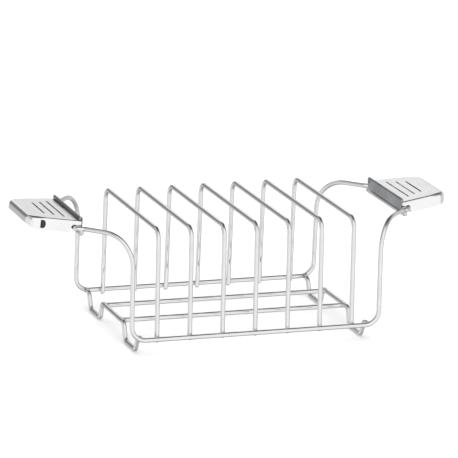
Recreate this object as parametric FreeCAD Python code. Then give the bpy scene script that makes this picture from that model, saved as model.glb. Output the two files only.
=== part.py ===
"""Wire toast and bun rack with two swinging sheet-metal handles.

Frame: millimetres, +Z up, +X along the row of hoops from the left handle to the right one.
The origin is on the surface that the rack stands on, under the middle of the rack.
Every piece is one solid in one STEP file named after the piece.
"""
import FreeCAD, Part
import math
import os

V = FreeCAD.Vector
UP = V(0, 0, 1)

# ---- wire and basket -------------------------------------------------------
wire_d = 3.0                # every wire of the rack has this diameter
wire_r = wire_d / 2
weld_bite = 0.15            # how far two welded wires sink into each other
end_round = 0.35            # rounded rim at a cut wire end

rail_y = 58.5               # centre line of the two side wires' bottom rails
rail_z = 11.0
upright_x = 81.8            # uprights at both ends of a side wire
upright_lean = 1.7          # how far an upright leans inwards over its height
rail_corner_r = 9.0

hoop_count = 7
hoop_pitch = 21.5
hoop_top_z = 79.5
hoop_lean = 2.1             # how far a hoop's leg leans inwards over its height
hoop_corner_r = 7.0

foot_x = 75.1               # the two foot wires across the rack
foot_bend_r = 4.0
foot_leg_top_y = 50.9       # where the outer leg leaves the level of the rail
foot_outer_y = 46.1
foot_inner_y = 26.1
hump_y = 22.3
hump_z = 12.4
mid_rail_y = 17.2

# ---- side wires' ends, tie wires and handle pivots ---------------------------
pivot_x = 110.7
pivot_z = 77.2
arm_bend_r = 20.0           # big bend from the upright to the level arm
arm_knee_x = 105.5          # where the level arm turns towards the handle's side
arm_knee_y = 32.0
arm_knee_r = 9.0
pin_turn_y = 30.7           # where the arm turns across the rack to become the pin
pin_turn_r = 2.5
pin_tip_y = 22.4

tie_inset = 3.2             # tie wire inwards of the pivot, under the handle's inner wall
tie_drop = wire_d - weld_bite   # tie wire below the arms, welded under them
tie_half_length = 32.0

# ---- handle: u outwards from the pivot, y across, w up from the pivot ---------
handle_tilt = 6.0           # degrees that the handle's outer end is raised at rest
sheet = 0.8                 # thickness of the handle's sheet metal
wall_u = -4.42              # inner face of the base's upright wall
wall_low_w = -0.75          # its lower edge, 0.25 above the tie wire
seam_gap = 0.02             # between the shell's open end and the base's wall
shell_u = wall_u + sheet + seam_gap
shell_out_u = 29.2          # outer end of the shell
half_width_in = 29.2        # half the shell's width at its inner end
side_taper = 0.2            # loss of half width per millimetre outwards
outer_corner_r = 6.5
top_w = 4.8
bottom_w = -3.2
side_edge_r = 1.2           # rounding of the top along its sides
end_edge_r = 2.8            # and round its outer end
edge_blend_u = 17.0         # the rounding grows between here and the outer corner
sweep_start_u = 22.0        # the underside curves up from here
sweep_end_w = -0.2          # height of the lower edge at the outer end

slot_width = 1.1
slots = ((4.7, 39.0), (10.2, 32.5), (15.8, 27.0))   # place outwards, length across

notch_u = 0.3               # middle of the pivot notch, so that its gap is outside
notch_r = 1.9
notch_round_w = 0.2

window_u = 19.4             # small window through one side wall and the rim behind it
window_length = 3.2
window_low_w = -1.9
window_high_w = 3.2
window_side_r = 3.6         # its inner side is rounded

flap_top_w = 7.2            # the base's wall stands above the shell's top
flap_corner_r = 2.2
hem_gap = 0.4
hem_low_w = top_w + 0.25     # the hem ends just above the shell's top
flap_low_corner_r = 1.2
base_gap = 0.1              # play between the base and the shell
base_rise_u = 24.6          # where the floor plate turns up towards its outer end
base_end_u = 28.0
base_end_w = -0.8
base_rise_r = 9.0

beyond = 1.0                # how far cutters and prisms run past what they cut


def round_corners(points, radii):
    """Edges of straight runs joined by tangent arcs; radii belong to the inner points."""
    edges = []
    start = points[0]
    for before, corner, after, radius in zip(points, points[1:], points[2:], radii):
        to_before = (before - corner).normalize()
        to_after = (after - corner).normalize()
        half_angle = to_before.getAngle(to_after) / 2
        reach = radius / math.tan(half_angle)
        arc_start = corner + to_before * reach
        arc_end = corner + to_after * reach
        bisector = (to_before + to_after).normalize()
        middle = corner + bisector * (radius / math.sin(half_angle) - radius)
        edges.append(Part.LineSegment(start, arc_start).toShape())
        edges.append(Part.Arc(arc_start, middle, arc_end).toShape())
        start = arc_end
    edges.append(Part.LineSegment(start, points[-1]).toShape())
    return edges


def round_rims(solid, ends):
    """Rounds the rims of the flat ends whose middles are the given points."""
    rims = []
    for edge in solid.Edges:
        if not isinstance(edge.Curve, Part.Circle):
            continue
        if any((edge.Curve.Center - end).Length < 0.01 for end in ends):
            rims.append(edge)
    return solid.makeFillet(end_round, rims)


def bent_wire(points, radii):
    """A round wire along the points, its bends as tangent arcs, its cut ends rounded."""
    path = Part.Wire(round_corners(points, radii))
    along = (points[1] - points[0]).normalize()
    section = Part.Wire(Part.Circle(points[0], along, wire_r).toShape())
    solid = path.makePipeShell([section], True, True)
    return round_rims(solid, (points[0], points[-1]))


def straight_wire(start, end):
    """A straight wire with plain cut ends."""
    return Part.makeCylinder(wire_r, (end - start).Length, start, end - start)


# ---- the rack's wires ------------------------------------------------------
def side_wire(side):
    """Rail, uprights, arms and pivot pins bent from one wire; side is -1 front, +1 rear."""
    right = [
        V(upright_x, side * rail_y, rail_z),
        V(upright_x, side * (rail_y - upright_lean), pivot_z),
        V(arm_knee_x, side * arm_knee_y, pivot_z),
        V(pivot_x, side * pin_turn_y, pivot_z),
        V(pivot_x, side * pin_tip_y, pivot_z),
    ]
    left = [V(-p.x, p.y, p.z) for p in reversed(right)]
    right_radii = [rail_corner_r, arm_bend_r, arm_knee_r, pin_turn_r]
    return bent_wire(left + right, right_radii[::-1] + right_radii)


def hoop(x):
    """One inverted U; its legs stand against the inner sides of the rails."""
    leg_y = rail_y - wire_d + weld_bite
    low_z = rail_z - wire_r
    top_y = leg_y - hoop_lean
    points = [
        V(x, -leg_y, low_z),
        V(x, -top_y, hoop_top_z),
        V(x, top_y, hoop_top_z),
        V(x, leg_y, low_z),
    ]
    return bent_wire(points, [hoop_corner_r] * 2)


def foot_wire(x):
    """Cross wire with two flat feet and a raised middle; butts against both rails."""
    rail_bend_start = upright_x - rail_corner_r
    rail_rise = rail_corner_r - math.sqrt(rail_corner_r ** 2 - (abs(x) - rail_bend_start) ** 2)
    butt_y = rail_y - wire_r + weld_bite
    butt_z = rail_z + rail_rise
    half = [
        V(x, butt_y, butt_z),
        V(x, foot_leg_top_y, butt_z),
        V(x, foot_outer_y, wire_r),
        V(x, foot_inner_y, wire_r),
        V(x, hump_y, hump_z),
    ]
    other_half = [V(p.x, -p.y, p.z) for p in reversed(half)]
    path = Part.Wire(round_corners(half + other_half, [foot_bend_r] * 8))
    section = Part.Wire(Part.Circle(half[0], V(0, 1, 0), wire_r).toShape())
    return path.makePipeShell([section], True, True)


def mid_rail(y):
    """Straight wire between the raised middles of the two foot wires."""
    reach = foot_x - wire_r + weld_bite
    return straight_wire(V(-reach, y, hump_z), V(reach, y, hump_z))


def tie_wire(end):
    """Cross wire under the arms: it holds them together and is the handle's rest."""
    x = end * (pivot_x - tie_inset)
    z = pivot_z - tie_drop
    start, finish = V(x, -tie_half_length, z), V(x, tie_half_length, z)
    return round_rims(straight_wire(start, finish), (start, finish))


# ---- the handles -----------------------------------------------------------
def half_width(u):
    """Half the shell's outer width at u."""
    return half_width_in - side_taper * (u - shell_u)


def plan_prism(u_in, u_out, inset, low_w, high_w):
    """Upright prism of the shell's outline, drawn in by inset, with rounded outer corners."""
    slant = math.hypot(1, side_taper)
    outer_u = u_out - inset
    y_in = half_width(u_in) - inset * slant
    y_out = half_width(outer_u) - inset * slant
    points = [V(u_in, -y_in, low_w), V(outer_u, -y_out, low_w), V(outer_u, y_out, low_w),
              V(u_in, y_in, low_w)]
    edges = round_corners(points, [outer_corner_r - inset] * 2)
    edges.append(Part.LineSegment(points[-1], points[0]).toShape())
    return Part.Face(Part.Wire(edges)).extrude(V(0, 0, high_w - low_w))


def slot_cutter(u, length):
    """Cutter for one long slot with round ends through the top."""
    straight = (length - slot_width) / 2
    low = top_w - 2 * sheet
    depth = 2 * sheet + beyond
    box = Part.makeBox(slot_width, 2 * straight, depth, V(u - slot_width / 2, -straight, low))
    ends = [Part.makeCylinder(slot_width / 2, depth, V(u, y, low), UP)
            for y in (-straight, straight)]
    return box.multiFuse(ends)


def notch_cutter():
    """Cutter for the pivot notches, open at the bottom, through both side walls."""
    width = 2 * (half_width_in + beyond)
    start_y = -width / 2
    low = bottom_w - beyond
    box = Part.makeBox(2 * notch_r, width, notch_round_w - low, V(notch_u - notch_r, start_y, low))
    crown = Part.makeCylinder(notch_r, width, V(notch_u, start_y, notch_round_w), V(0, 1, 0))
    return box.fuse(crown)


def underside_cutter():
    """Cutter that makes the shell's lower edge curve up towards its outer end."""
    run = shell_out_u - sweep_start_u
    rise = sweep_end_w - bottom_w
    radius = (run ** 2 + rise ** 2) / (2 * rise)
    half_turn = math.asin(run / radius) / 2
    y = -half_width_in - beyond
    start = V(sweep_start_u, y, bottom_w)
    middle = V(sweep_start_u + radius * math.sin(half_turn), y,
               bottom_w + radius * (1 - math.cos(half_turn)))
    end = V(shell_out_u, y, sweep_end_w)
    outside = V(shell_out_u + beyond, y, sweep_end_w)
    below = V(shell_out_u + beyond, y, bottom_w - beyond)
    start_below = V(sweep_start_u, y, bottom_w - beyond)
    edges = [Part.Arc(start, middle, end).toShape()]
    outline = [end, outside, below, start_below, start]
    edges += [Part.LineSegment(a, b).toShape() for a, b in zip(outline, outline[1:])]
    return Part.Face(Part.Wire(edges)).extrude(V(0, 2 * (half_width_in + beyond), 0))


def tie_cutter():
    """Cutter for the tie wire's way under the side walls, from their inner ends to the notches."""
    width = 2 * (half_width_in + beyond)
    start_u = wall_u - beyond
    low = bottom_w - beyond
    return Part.makeBox(notch_u + notch_r - start_u, width, wall_low_w - low,
                        V(start_u, -width / 2, low))


def window_cutter():
    """Cutter for the window, a box with a rounded inner side."""
    depth = 2 * sheet + base_gap + 2 * beyond
    start_y = half_width(window_u) + beyond - depth
    start_u = window_u - window_length / 2
    height = window_high_w - window_low_w
    box = Part.makeBox(window_length, depth, height, V(start_u, start_y, window_low_w))
    axis_foot = V(start_u + window_side_r, start_y, window_low_w + height / 2)
    return box.common(Part.makeCylinder(window_side_r, depth, axis_foot, V(0, 1, 0)))


def rounded_block(u_in, inset, low_w, high_w):
    """plan_prism up to the outer end, its top edge rounded: tight at the sides, soft at the end."""
    slant = math.hypot(1, side_taper)
    outer_u = shell_out_u - inset

    def side(u):
        return V(u, inset * slant - half_width(u), low_w)

    middle_out, middle_in = V(outer_u, 0, low_w), V(u_in, 0, low_w)
    edges = round_corners([middle_out, side(outer_u), side(edge_blend_u)], [outer_corner_r - inset])
    outline = [side(edge_blend_u), side(u_in), middle_in, middle_out]
    edges += [Part.LineSegment(a, b).toShape() for a, b in zip(outline, outline[1:])]
    half = Part.Face(Part.Wire(edges)).extrude(V(0, 0, high_w - low_w))
    growing = [e for e in half.Edges
               if e.BoundBox.ZMin > high_w - 0.01 and abs(e.BoundBox.XMin - edge_blend_u) < 0.01]
    half = half.makeFillet(end_edge_r - inset, side_edge_r - inset, growing)
    return half.fuse(half.mirror(V(0, 0, 0), V(0, 1, 0))).removeSplitter()


def handle_shell():
    """Upper half of the handle: top with three slots, two side walls and an end wall."""
    body = rounded_block(shell_u, 0, bottom_w, top_w)
    hollow = rounded_block(shell_u - beyond, sheet, bottom_w - beyond, top_w - sheet)
    cutters = [hollow, underside_cutter(), notch_cutter(), tie_cutter(), window_cutter()]
    cutters += [slot_cutter(u, length) for u, length in slots]
    return body.cut(cutters)


def strip_profile(points, radii):
    """Closed outline, sheet thick, around a centre line in the u-w plane."""
    centre = Part.Wire(round_corners(points, radii))
    sides = []
    for offset in (-sheet / 2, sheet / 2):
        sides.append([offset_edge(edge, offset) for edge in centre.OrderedEdges])
    left, right = sides
    caps = []
    for near, far in ((left[0].Vertexes[0], right[0].Vertexes[0]),
                      (left[-1].Vertexes[-1], right[-1].Vertexes[-1])):
        caps.append(Part.LineSegment(near.Point, far.Point).toShape())
    return Part.Face(Part.Wire(Part.__sortEdges__(left + right + caps)))


def offset_edge(edge, offset):
    """The edge moved sideways in the u-w plane by offset."""
    moved = []
    middle = (edge.FirstParameter + edge.LastParameter) / 2
    for parameter in (edge.FirstParameter, middle, edge.LastParameter):
        direction = edge.tangentAt(parameter)
        moved.append(edge.valueAt(parameter) + V(-direction.z, 0, direction.x) * offset)
    if isinstance(edge.Curve, Part.Line):
        return Part.LineSegment(moved[0], moved[-1]).toShape()
    return Part.Arc(*moved).toShape()


def across(points, radii):
    """Sheet bent along the points and running over the whole width of the handle."""
    return strip_profile(points, radii).extrude(V(0, 2 * (half_width_in + beyond), 0))


def handle_base():
    """Lower half of the handle: inner wall with a hemmed flap, floor plate, upturned rim."""
    inset = sheet + base_gap
    rim_top_w = top_w - inset
    rim = rounded_block(wall_u, inset, bottom_w, rim_top_w)
    rim = rim.cut(plan_prism(wall_u - beyond, shell_out_u, inset + sheet, bottom_w - beyond,
                             rim_top_w + beyond))
    y = -half_width_in - beyond
    wall = wall_u + sheet / 2
    hem = wall + sheet + hem_gap
    top = flap_top_w - sheet / 2
    floor = bottom_w + sheet / 2
    hem_r = (hem - wall) / 2 - 0.001    # a hair under, so that the two bends stay apart
    flap = across([V(hem, y, hem_low_w), V(hem, y, top), V(wall, y, top), V(wall, y, wall_low_w)],
                  [hem_r, hem_r])
    plate = across([V(notch_u + notch_r, y, floor), V(base_rise_u, y, floor),
                    V(base_end_u, y, base_end_w)], [base_rise_r])
    inside = plan_prism(wall_u, shell_out_u, inset, bottom_w - beyond, flap_top_w + beyond)
    sheets = flap.common(inside.fuse(flap_outline())).fuse(plate.common(inside))
    cutters = [underside_cutter(), notch_cutter(), tie_cutter(), window_cutter()]
    return rim.cut(cutters).fuse(sheets).removeSplitter()


def flap_outline():
    """Prism that gives the inner wall its full width and rounded corners."""
    u = wall_u - beyond
    y = half_width_in
    points = [V(u, 0, wall_low_w), V(u, -y, wall_low_w), V(u, -y, flap_top_w), V(u, y, flap_top_w),
              V(u, y, wall_low_w), V(u, 0, wall_low_w)]
    radii = [flap_low_corner_r, flap_corner_r, flap_corner_r, flap_low_corner_r]
    return Part.Face(Part.Wire(round_corners(points, radii))).extrude(
        V(shell_u - seam_gap / 2 - u, 0, 0))


def place_handle_part(part, end):
    """Tilts a handle piece and puts it at its pivot; end is -1 left, +1 right."""
    part.rotate(V(0, 0, 0), V(0, -1, 0), handle_tilt)
    part.translate(V(pivot_x, 0, pivot_z))
    if end < 0:
        part.rotate(V(0, 0, 0), UP, 180)
    return part


def build():
    """Every piece by name."""
    pieces = {"side_wire_front": side_wire(-1), "side_wire_rear": side_wire(1)}
    for index in range(hoop_count):
        x = (index - (hoop_count - 1) / 2) * hoop_pitch
        pieces["hoop_%d" % (index + 1)] = hoop(x)
    pieces["mid_rail_front"] = mid_rail(-mid_rail_y)
    pieces["mid_rail_rear"] = mid_rail(mid_rail_y)
    for name, end in (("left", -1), ("right", 1)):
        pieces["foot_wire_" + name] = foot_wire(end * foot_x)
        pieces["tie_wire_" + name] = tie_wire(end)
        pieces["handle_shell_" + name] = place_handle_part(handle_shell(), end)
        pieces["handle_base_" + name] = place_handle_part(handle_base(), end)
    return pieces


os.makedirs("parts", exist_ok=True)
for piece_name, shape in build().items():
    solids = shape.Solids
    print("%-20s solids %d valid %s volume %.1f" % (piece_name, len(solids), shape.isValid(), shape.Volume))
    solids[0].exportStep("parts/%s.step" % piece_name)
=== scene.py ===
"""Looks for the wire toast rack: swept wires, weld fillets, sheet-metal handles and a studio."""

import math
import bmesh
import bpy
import numpy as np
from mathutils import Matrix, Vector


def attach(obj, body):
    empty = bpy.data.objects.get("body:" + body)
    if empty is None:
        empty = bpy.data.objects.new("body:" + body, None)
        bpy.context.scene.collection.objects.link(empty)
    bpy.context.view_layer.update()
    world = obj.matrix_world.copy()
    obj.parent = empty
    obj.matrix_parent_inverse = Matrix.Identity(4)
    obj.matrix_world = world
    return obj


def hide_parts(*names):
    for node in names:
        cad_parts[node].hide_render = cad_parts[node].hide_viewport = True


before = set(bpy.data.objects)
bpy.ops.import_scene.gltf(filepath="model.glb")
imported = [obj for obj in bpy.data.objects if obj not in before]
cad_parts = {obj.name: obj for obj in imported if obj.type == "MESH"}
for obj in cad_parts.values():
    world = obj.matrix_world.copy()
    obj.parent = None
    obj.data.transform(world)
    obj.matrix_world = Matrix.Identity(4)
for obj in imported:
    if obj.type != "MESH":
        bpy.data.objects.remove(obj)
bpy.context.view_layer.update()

MM = 0.001
SIDES = (("front", -1), ("rear", 1))
ENDS = (("left", -1), ("right", 1))

# The wires' centre lines in millimetres, as the frame has them.
WIRE_R = 1.5
BITE = 0.15                 # how far two welded wires sink into each other
END_ROUND = 0.35            # rounded rim at a cut wire end
RAIL_Y, RAIL_Z = 58.5, 11.0
UPRIGHT_X, UPRIGHT_LEAN, RAIL_CORNER_R = 81.8, 1.7, 9.0
ARM_BEND_R = 20.0
ARM_KNEE_X, ARM_KNEE_Y, ARM_KNEE_R = 105.5, 32.0, 9.0
PIVOT_X, PIVOT_Z = 110.7, 77.2
PIN_TURN_Y, PIN_TURN_R, PIN_TIP_Y = 30.7, 2.5, 22.4
HOOP_COUNT, HOOP_PITCH, HOOP_TOP_Z, HOOP_LEAN, HOOP_CORNER_R = 7, 21.5, 79.5, 2.1, 7.0
FOOT_X, FOOT_BEND_R = 75.1, 4.0
FOOT_LEG_TOP_Y, FOOT_OUTER_Y, FOOT_INNER_Y = 50.9, 46.1, 26.1
HUMP_Y, HUMP_Z, MID_RAIL_Y = 22.3, 12.4, 17.2
TIE_X, TIE_Z, TIE_HALF = 107.5, 74.35, 32.0


# ---- centre lines ------------------------------------------------------------------------
def rounded(points, radii, step=5.0):
    """Straight runs joined by tangent arcs, sampled every few degrees of arc."""
    points = [np.array(p, float) for p in points]
    out = [points[0]]
    for before, corner, after, radius in zip(points, points[1:], points[2:], radii):
        u = (before - corner) / np.linalg.norm(before - corner)
        w = (after - corner) / np.linalg.norm(after - corner)
        half = math.acos(float(np.clip(u @ w, -1, 1))) / 2
        bisector = (u + w) / np.linalg.norm(u + w)
        centre = corner + bisector * radius / math.sin(half)
        reach = radius / math.tan(half)
        a, b = corner + u * reach - centre, corner + w * reach - centre
        turn = math.pi - 2 * half
        count = max(4, int(math.degrees(turn) / step))
        for i in range(count + 1):
            t = i / count
            spoke = (math.sin((1 - t) * turn) * a + math.sin(t * turn) * b) / math.sin(turn)
            out.append(centre + spoke)
    out.append(points[-1])
    return np.array(out)


def spread(line, longest=3.0):
    """Extra samples on the long straight runs, so that detail can follow the wire."""
    out = [line[0]]
    for a, b in zip(line, line[1:]):
        n = max(1, int(np.linalg.norm(b - a) / longest))
        out += [a + (b - a) * (i + 1) / n for i in range(n)]
    return np.array(out)


def side_line(side):
    """Rail, uprights, arms and pivot pins; side is -1 front, +1 rear."""
    right = [
        (UPRIGHT_X, side * RAIL_Y, RAIL_Z),
        (UPRIGHT_X, side * (RAIL_Y - UPRIGHT_LEAN), PIVOT_Z),
        (ARM_KNEE_X, side * ARM_KNEE_Y, PIVOT_Z),
        (PIVOT_X, side * PIN_TURN_Y, PIVOT_Z),
        (PIVOT_X, side * PIN_TIP_Y, PIVOT_Z),
    ]
    left = [(-x, y, z) for x, y, z in reversed(right)]
    radii = [RAIL_CORNER_R, ARM_BEND_R, ARM_KNEE_R, PIN_TURN_R]
    return rounded(left + right, radii[::-1] + radii)


def hoop_x(index):
    """Place of a hoop along the rack; index counts from 0 at the left."""
    return (index - (HOOP_COUNT - 1) / 2) * HOOP_PITCH


def hoop_line(x):
    """One inverted U."""
    leg = RAIL_Y - 2 * WIRE_R + BITE
    low, top = RAIL_Z - WIRE_R, leg - HOOP_LEAN
    points = [(x, -leg, low), (x, -top, HOOP_TOP_Z), (x, top, HOOP_TOP_Z), (x, leg, low)]
    return rounded(points, [HOOP_CORNER_R] * 2)


def foot_line(x):
    """Two flat feet and a raised middle, between the two rails."""
    past_corner = abs(x) - UPRIGHT_X + RAIL_CORNER_R
    butt_z = RAIL_Z + RAIL_CORNER_R - math.sqrt(RAIL_CORNER_R ** 2 - past_corner ** 2)
    half = [
        (x, RAIL_Y - WIRE_R + BITE, butt_z),
        (x, FOOT_LEG_TOP_Y, butt_z),
        (x, FOOT_OUTER_Y, WIRE_R),
        (x, FOOT_INNER_Y, WIRE_R),
        (x, HUMP_Y, HUMP_Z),
    ]
    other_half = [(x, -y, z) for x, y, z in reversed(half)]
    return rounded(half + other_half, [FOOT_BEND_R] * 8)


def straight_line(start, end):
    return np.array([start, end], float)


LINES = {"side_wire_" + name: side_line(side) for name, side in SIDES}
for i in range(HOOP_COUNT):
    LINES["hoop_%d" % (i + 1)] = hoop_line(hoop_x(i))
for name, end in ENDS:
    x = end * TIE_X
    LINES["foot_wire_" + name] = foot_line(end * FOOT_X)
    LINES["tie_wire_" + name] = straight_line((x, -TIE_HALF, TIE_Z), (x, TIE_HALF, TIE_Z))
for name, side in SIDES:
    x, y = FOOT_X - WIRE_R + BITE, side * MID_RAIL_Y
    LINES["mid_rail_" + name] = straight_line((-x, y, HUMP_Z), (x, y, HUMP_Z))
ROUND_ENDS = {n for n in LINES if n.startswith(("side", "hoop", "tie"))}


# ---- welds: where two wires meet ---------------------------------------------------------
def segment_distance(points, line):
    """Distance from each point to a polyline."""
    best = np.full(len(points), 1e9)
    for a, b in zip(line, line[1:]):
        ab = b - a
        t = np.clip((points - a) @ ab / (ab @ ab), 0, 1)
        best = np.minimum(best, np.linalg.norm(points - (a + t[:, None] * ab), axis=1))
    return best


def near(line, place, reach=9.0):
    """Fine samples of the part of a line that lies within reach of a place."""
    line = spread(line, 0.15)
    return line[np.linalg.norm(line - place, axis=1) < reach]


def meeting(one, other, place):
    """Middle of the contact between two wires near a place, and both wires' samples there."""
    a, b = near(one, place), near(other, place)
    gaps = np.linalg.norm(a[:, None] - b[None], axis=2)
    i, j = np.unravel_index(np.argmin(gaps), gaps.shape)
    return (a[i] + b[j]) / 2, a, b


WELDS = {"welds_rail_" + name: [] for name, side in SIDES}
WELDS.update(welds_mid_rails=[], welds_tie_wires=[])
WELD_SIZE = {"welds_tie_wires": 0.9}    # radius of the blend between the wires
USUAL_WELD_SIZE = 1.5
MAX_WELD_R = 2.6                        # how far a weld reaches from its middle
SEARCH_STEP = 0.1                       # of the search for a weld's surface along a ray
TIE_WELD_Y, TIE_WELD_Z = 31.5, 76.0     # about where a tie wire meets the arms
for name, side in SIDES:
    side_wire, y = "side_wire_" + name, side * (RAIL_Y - WIRE_R)
    at_rail = WELDS["welds_rail_" + name]
    for i in range(HOOP_COUNT):
        at_rail.append((side_wire, "hoop_%d" % (i + 1), (hoop_x(i), y, RAIL_Z)))
    for end_name, end in ENDS:
        foot_wire, tie_wire = "foot_wire_" + end_name, "tie_wire_" + end_name
        at_rail.append((side_wire, foot_wire, (end * FOOT_X, y, RAIL_Z)))
        at_hump = (end * FOOT_X, side * MID_RAIL_Y, HUMP_Z)
        WELDS["welds_mid_rails"].append(("mid_rail_" + name, foot_wire, at_hump))
        at_tie = (end * TIE_X, side * TIE_WELD_Y, TIE_WELD_Z)
        WELDS["welds_tie_wires"].append((side_wire, tie_wire, at_tie))


def unit_ball():
    """Points and faces of a fine ball of radius 1."""
    ball = bmesh.new()
    bmesh.ops.create_icosphere(ball, subdivisions=4, radius=1.0)
    points = np.array([v.co[:] for v in ball.verts])
    faces = [[v.index for v in f.verts] for f in ball.faces]
    ball.free()
    return points, faces


def fillet(one, other, place, size, rng):
    """Closed lump of weld metal that fills the crease between two wires.

    Each point of a ball moves out along its ray to the surface of the two wires blended together.
    """
    centre, a, b = meeting(LINES[one], LINES[other], np.array(place, float))
    a, b = a[::4], b[::4]
    ways, faces = unit_ball()
    blend = size + 0.25 * rng.standard_normal()
    phase = rng.standard_normal(3)[0] * 0.12 * 20

    def outside(r):
        p = centre + ways * r[:, None]
        da, db = segment_distance(p, a) - WIRE_R, segment_distance(p, b) - WIRE_R
        h = np.clip(0.5 + 0.5 * (db - da) / blend, 0, 1)
        lumps = 0.05 * np.sin(p @ np.array([3.1, 2.3, 2.7]) + phase)
        return db + (da - db) * h - blend * h * (1 - h) + 0.03 + lumps * h * (1 - h) * 4 > 0

    low = np.zeros(len(ways))
    for r in np.linspace(SEARCH_STEP, MAX_WELD_R, 26):
        inside = ~outside(np.full(len(ways), r))
        low = np.where(inside & (low >= r - 1.1 * SEARCH_STEP), r, low)
    high = np.minimum(low + SEARCH_STEP, MAX_WELD_R)
    for _ in range(9):
        middle = (low + high) / 2
        out = outside(middle)
        high, low = np.where(out, middle, high), np.where(out, low, middle)
    return (centre + ways * low[:, None]) * MM, faces


# ---- meshes ------------------------------------------------------------------------------
def new_object(name, verts, faces, uvs=None):
    """A smooth-shaded mesh object; uvs has the corners of each face."""
    mesh = bpy.data.meshes.new(name)
    mesh.from_pydata([tuple(v) for v in verts], [], faces)
    mesh.validate()
    if uvs is not None:
        layer = mesh.uv_layers.new(name="grain")
        for poly in mesh.polygons:
            for loop, uv in zip(poly.loop_indices, uvs[poly.index]):
                layer.data[loop].uv = uv
    mesh.polygons.foreach_set("use_smooth", [True] * len(mesh.polygons))
    mesh.update()
    obj = bpy.data.objects.new(name, mesh)
    bpy.context.scene.collection.objects.link(obj)
    return obj


def tube(name, line, round_ends, sides=32):
    """A wire swept along its centre line, with its cut ends eased and a map along its length."""
    line = spread(line, 2.5)
    tangents = np.gradient(line, axis=0)
    tangents /= np.linalg.norm(tangents, axis=1)[:, None]
    normal = np.cross(tangents[0], (0.31, 0.17, 0.93))
    normal /= np.linalg.norm(normal)
    rings, along, distance = [], [], 0.0
    ease = END_ROUND if round_ends else 0.0
    total = float(np.sum(np.linalg.norm(np.diff(line, axis=0), axis=1)))

    def ring(centre, n, t, radius, place):
        b = np.cross(t, n)
        angles = np.arange(sides) * 2 * math.pi / sides
        rings.append(centre + radius * (np.outer(np.cos(angles), n) + np.outer(np.sin(angles), b)))
        along.append(place)

    def cap(centre, n, t, place, order):
        steps = [0, 18, 36, 54, 72, 90] if ease else [90]
        for degrees in steps[::order]:
            a = math.radians(degrees)
            middle = centre + t * ease * (1 - math.cos(a)) * order
            ring(middle, n, t, WIRE_R - ease * (1 - math.sin(a)), place)

    cap(line[0], normal, tangents[0], 0.0, 1)
    for i in range(1, len(line) - 1):
        distance += float(np.linalg.norm(line[i] - line[i - 1]))
        t = tangents[i]
        normal = normal - t * (normal @ t)
        normal /= np.linalg.norm(normal)
        if distance > ease + 0.05 and total - distance > ease + 0.05:
            ring(line[i], normal, t, WIRE_R, distance)
    t = tangents[-1]
    normal = normal - t * (normal @ t)
    normal /= np.linalg.norm(normal)
    cap(line[-1], normal, t, total, -1)
    verts = np.concatenate(rings)
    faces, uvs = [], []
    for i in range(len(rings) - 1):
        for j in range(sides):
            k = (j + 1) % sides
            faces.append([i * sides + j, i * sides + k, (i + 1) * sides + k, (i + 1) * sides + j])
            v0, v1 = j / sides, (j + 1) / sides
            uvs.append([(along[i], v0), (along[i], v1), (along[i + 1], v1), (along[i + 1], v0)])
    last = (len(rings) - 1) * sides
    for start, flip in ((0, True), (last, False)):
        loop = list(range(start, start + sides))
        faces.append(loop[::-1] if flip else loop)
        uvs.append([(0.0, 0.0)] * sides)
    return new_object(name, verts * MM, faces, uvs)


# ---- node helpers ------------------------------------------------------------------------
class Nodes:
    """Small shorthand for building a node tree."""

    def __init__(self, tree):
        self.tree = tree

    def add(self, kind, inputs=None, **settings):
        node = self.tree.nodes.new(kind)
        for key, value in settings.items():
            setattr(node, key, value)
        for key, value in (inputs or {}).items():
            self.put(node.inputs[key], value)
        return node

    def put(self, socket, value):
        if isinstance(value, bpy.types.NodeSocket):
            self.tree.links.new(value, socket)
        else:
            socket.default_value = value

    def math(self, operation, a, b=0.0, clamp=False):
        node = self.add("ShaderNodeMath", {0: a, 1: b}, operation=operation, use_clamp=clamp)
        return node.outputs[0]

    def dot(self, vector, way):
        node = self.add("ShaderNodeVectorMath", {0: vector, 1: way}, operation="DOT_PRODUCT")
        return node.outputs["Value"]

    def remap(self, value, a, b, c, d):
        """Smoothly turns the range a to b into c to d."""
        limits = {"Value": value, "From Min": a, "From Max": b, "To Min": c, "To Max": d}
        node = self.add("ShaderNodeMapRange", limits, interpolation_type="SMOOTHSTEP")
        return node.outputs["Result"]

    def noise(self, vector, scale, detail=3.0, rough=0.55):
        inputs = {"Vector": vector, "Scale": scale, "Detail": detail, "Roughness": rough}
        return self.add("ShaderNodeTexNoise", inputs).outputs["Fac"]

    def stretch(self, vector, scale):
        node = self.add("ShaderNodeMapping", {"Vector": vector, "Scale": scale})
        return node.outputs["Vector"]

    def ramp(self, value, stops):
        node = self.add("ShaderNodeValToRGB", {"Fac": value})
        elements = node.color_ramp.elements
        while len(elements) < len(stops):
            elements.new(0.5)
        for element, (place, colour) in zip(elements, stops):
            element.position = place
            element.color = (*colour, 1)
        return node.outputs["Color"]

    def mix(self, factor, a, b):
        node = self.add("ShaderNodeMix", data_type="RGBA")
        self.put(node.inputs["Factor"], factor)
        self.put(node.inputs["A"], a if isinstance(a, bpy.types.NodeSocket) else (*a, 1))
        self.put(node.inputs["B"], b if isinstance(b, bpy.types.NodeSocket) else (*b, 1))
        return node.outputs["Result"]


def metal(name):
    """A metallic material, a builder for its nodes, and its shader."""
    material = bpy.data.materials.new(name)
    material.use_nodes = True
    tree = material.node_tree
    shader = tree.nodes["Principled BSDF"]
    shader.inputs["Metallic"].default_value = 1.0
    return material, Nodes(tree), shader


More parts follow.
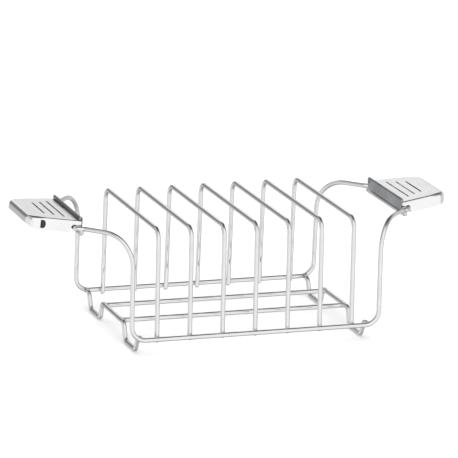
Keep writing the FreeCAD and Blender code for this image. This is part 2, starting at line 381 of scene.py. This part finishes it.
def wire_material():
    """Bright drawn wire: fine lines along it, faint blotches, small scuffs."""
    material, n, shader = metal("drawn_wire")
    place = n.add("ShaderNodeTexCoord").outputs["Object"]
    uv = n.add("ShaderNodeUVMap", uv_map="grain").outputs["UV"]
    lines = n.noise(n.stretch(uv, (0.12, 26.0, 1.0)), 3.0, 4.0, 0.65)
    blotch = n.noise(place, 95.0, 3.0)
    scuff = n.remap(n.noise(place, 900.0, 5.0, 0.7), 0.60, 0.72, 0.0, 1.0)
    mottle = n.math("ADD", n.math("MULTIPLY", lines, 0.65), n.math("MULTIPLY", blotch, 0.35))
    tone = n.ramp(mottle, [(0.25, (0.64, 0.64, 0.645)), (0.75, (0.80, 0.80, 0.80))])
    n.put(shader.inputs["Base Color"], tone)
    rough = n.math("ADD", n.remap(lines, 0.3, 0.7, 0.07, 0.13), n.math("MULTIPLY", scuff, 0.06))
    n.put(shader.inputs["Roughness"], rough)
    bump = n.add("ShaderNodeBump", {"Height": lines, "Strength": 0.10, "Distance": 0.00003})
    n.put(shader.inputs["Normal"], bump.outputs["Normal"])
    return material


def weld_material():
    """Weld metal: rougher, slightly darker, with a breath of straw-coloured heat tint."""
    material, n, shader = metal("weld_metal")
    place = n.add("ShaderNodeTexCoord").outputs["Object"]
    grain = n.noise(place, 1600.0, 5.0, 0.65)
    tinted = n.remap(n.noise(place, 420.0, 2.0), 0.4, 0.65, 0.0, 1.0)
    tone = n.mix(tinted, (0.66, 0.66, 0.665), (0.68, 0.635, 0.57))
    n.put(shader.inputs["Base Color"], tone)
    n.put(shader.inputs["Roughness"], n.remap(grain, 0.3, 0.7, 0.22, 0.42))
    bump = n.add("ShaderNodeBump", {"Height": grain, "Strength": 0.35, "Distance": 0.00006})
    n.put(shader.inputs["Normal"], bump.outputs["Normal"])
    return material


def sheet_material(name, dark, light, contrast, top_rough, side_rough):
    """Stainless sheet: brushed on its broad top, polished on its walls, brighter worn edges."""
    material, n, shader = metal(name)
    place = n.add("ShaderNodeTexCoord").outputs["Object"]
    geometry = n.add("ShaderNodeNewGeometry").outputs
    top = n.remap(n.dot(geometry["Normal"], (0.0, 0.0, 1.0)), 0.93, 0.99, 0.0, 1.0)
    brushed = n.noise(n.stretch(place, (60.0, 1.6, 60.0)), 42.0, 5.0, 0.7)
    fine = n.noise(n.stretch(place, (150.0, 5.0, 150.0)), 55.0, 3.0, 0.6)
    smudge = n.noise(place, 62.0, 3.0, 0.5)
    grain = n.math("ADD", n.math("MULTIPLY", brushed, 0.6), n.math("MULTIPLY", fine, 0.4))
    mottle = n.math("ADD", n.math("MULTIPLY", grain, 0.65), n.math("MULTIPLY", smudge, 0.35))
    tone = n.ramp(mottle, [(0.5 - contrast, dark), (0.5 + contrast, light)])
    edge = n.remap(geometry["Pointiness"], 0.52, 0.60, 0.0, 1.0)
    tone = n.mix(n.math("MULTIPLY", edge, 0.12), tone, (0.92, 0.92, 0.92))
    n.put(shader.inputs["Base Color"], tone)
    rough = n.math("ADD", n.math("MULTIPLY", top, top_rough - side_rough), side_rough)
    vary = n.math("ADD", n.remap(grain, 0.35, 0.65, -0.05, 0.05),
                  n.remap(smudge, 0.35, 0.7, -0.02, 0.05))
    vary = n.math("MULTIPLY", vary, n.remap(top, 0, 1, 0.4, 1.0))
    n.put(shader.inputs["Roughness"], n.math("ADD", rough, vary, clamp=True))
    bump = n.add("ShaderNodeBump", {"Height": grain, "Distance": 0.00004})
    n.put(bump.inputs["Strength"], n.math("ADD", n.math("MULTIPLY", top, 0.14), 0.03))
    n.put(shader.inputs["Normal"], bump.outputs["Normal"])
    return material


# ---- pieces ------------------------------------------------------------------------------
WIRE = wire_material()
WELD = weld_material()
SHELL = sheet_material("handle_sheet", dark=(0.70, 0.70, 0.71), light=(0.87, 0.87, 0.88),
                       contrast=0.20, top_rough=0.27, side_rough=0.13)
# The base is the same stainless sheet as the shell, given a much darker tone range: painted shade
# and painted dark reflection for its inward-facing walls and flap, with its grain streaks on top.
BASE_WITH_PAINTED_SHADE = sheet_material("handle_base_sheet_painted_shade", dark=(0.14, 0.145, 0.155), light=(0.42, 0.425, 0.435),
                      contrast=0.13, top_rough=0.20, side_rough=0.14)

for node, line in LINES.items():
    piece = tube(node + "_wire", line, node in ROUND_ENDS)
    piece.data.materials.append(WIRE)
    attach(piece, "rack")
    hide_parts(node)

random = np.random.default_rng(7)
for group, joints in WELDS.items():
    size = WELD_SIZE.get(group, USUAL_WELD_SIZE)
    verts, faces, start = [], [], 0
    for one, other, place in joints:
        v, f = fillet(one, other, place, size, random)
        verts.append(v)
        faces += [[i + start for i in face] for face in f]
        start += len(v)
    piece = new_object(group, np.concatenate(verts), faces)
    piece.data.materials.append(WELD)
    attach(piece, "rack")

for node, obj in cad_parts.items():
    if node.startswith("handle"):
        obj.data.materials.clear()
        obj.data.materials.append(SHELL if "shell" in node else BASE_WITH_PAINTED_SHADE)

# ---- studio ------------------------------------------------------------------------------
BASE_LEVEL = 0.36           # strength of the surroundings where no lobe reaches
DIMMEST, BRIGHTEST = 0.11, 1.20
BACKDROP = 0.97             # strength that the camera sees past the floor
LOBES = (                   # direction, full inside and none past (degrees), strength
    ((0.15, -1.0, -0.05), 35, 80, 0.80),    # broad front
    ((-0.15, -0.74, 0.66), 16, 42, 0.70),   # high front
    ((0.27, 0.90, 0.42), 5, 25, 0.72),      # back, to the right
    ((0.13, 0.32, 0.94), 18, 38, -0.38),    # dim patch overhead
    ((-0.95, 0.15, -0.22), 30, 61, 0.62),   # left
    ((-0.20, 0.90, -0.42), 10, 34, 0.26),   # low back
    ((-0.27, 0.90, 0.32), 6, 20, -0.13),    # dim patch at the back, to the left
    ((0.25, 0.3, -0.9), 25, 60, 0.10),      # below
    ((0.90, 0.36, -0.15), 16, 44, 0.44),    # right
    ((-0.50, 0.28, 0.82), 12, 36, 0.26),    # high left
)

bpy.ops.mesh.primitive_plane_add(size=24, location=(0, 0, 0))
floor = bpy.context.object
floor.name = "floor"
floor.visible_glossy = False
pale = bpy.data.materials.new("pale_floor")
pale.use_nodes = True
shader = pale.node_tree.nodes["Principled BSDF"]
shader.inputs["Base Color"].default_value = (0.93, 0.93, 0.93, 1)
shader.inputs["Roughness"].default_value = 0.9
shader.inputs["Specular IOR Level"].default_value = 0.1
floor.data.materials.append(pale)

world = bpy.data.worlds.new("studio")
bpy.context.scene.world = world
world.use_nodes = True
w = Nodes(world.node_tree)
way = w.add("ShaderNodeTexCoord").outputs["Generated"]


def lobe(direction, inner, outer, gain):
    """A soft patch of light round a direction: full inside inner degrees, none past outer."""
    across = w.dot(way, tuple(Vector(direction).normalized()))
    return w.remap(across, math.cos(math.radians(outer)), math.cos(math.radians(inner)), 0.0, gain)


level = BASE_LEVEL
for direction, inner, outer, gain in LOBES:
    level = w.math("ADD", level, lobe(direction, inner, outer, gain))
level = w.math("MINIMUM", w.math("MAXIMUM", level, DIMMEST), BRIGHTEST)
seen = w.add("ShaderNodeLightPath").outputs["Is Camera Ray"]
background = world.node_tree.nodes["Background"]
shade = w.add("ShaderNodeMix", data_type="FLOAT")
w.put(shade.inputs["Factor"], seen)
w.put(shade.inputs["A"], level)
w.put(shade.inputs["B"], BACKDROP)
w.put(background.inputs["Color"], (1, 1, 1, 1))
w.put(background.inputs["Strength"], shade.outputs["Result"])


def area(name, place, size, power, aim=(0, 0, 0.04)):
    """A round soft light that the metal doesn't mirror."""
    data = bpy.data.lights.new(name, "AREA")
    data.shape, data.size, data.energy = "DISK", size, power
    obj = bpy.data.objects.new(name, data)
    obj.location = place
    obj.rotation_mode = "QUATERNION"
    obj.rotation_quaternion = (Vector(aim) - Vector(place)).to_track_quat("-Z", "Y")
    obj.visible_glossy = False
    bpy.context.scene.collection.objects.link(obj)


area("overhead", place=(0.1, 0.2, 2.4), size=4.4, power=68)
area("front_fill", place=(-0.9, -1.8, 1.4), size=1.6, power=12)
bpy.context.scene.view_settings.view_transform = "Standard"

# ---- camera ------------------------------------------------------------------------------
AZIMUTH, ELEVATION, ROLL = math.radians(19.87), math.radians(14.88), math.radians(1.86)
DISTANCE, LENS, SENSOR, TARGET = 2.381, 295.0, 36.0, Vector((0.0007, 0.0, 0.0626))
sa, ca, se, ce = math.sin(AZIMUTH), math.cos(AZIMUTH), math.sin(ELEVATION), math.cos(ELEVATION)
back = Vector((-sa * ce, -ca * ce, se))
right, up = Vector((ca, -sa, 0)), Vector((sa * se, ca * se, ce))
turned = Matrix((math.cos(ROLL) * right + math.sin(ROLL) * up,
                 -math.sin(ROLL) * right + math.cos(ROLL) * up, back)).transposed()
data = bpy.data.cameras.new("camera")
data.sensor_width, data.lens = SENSOR, LENS
data.clip_start, data.clip_end = 0.05, 60.0
camera = bpy.data.objects.new("camera", data)
camera.matrix_world = Matrix.Translation(TARGET + back * DISTANCE) @ turned.to_4x4()
bpy.context.scene.collection.objects.link(camera)
bpy.context.scene.camera = camera
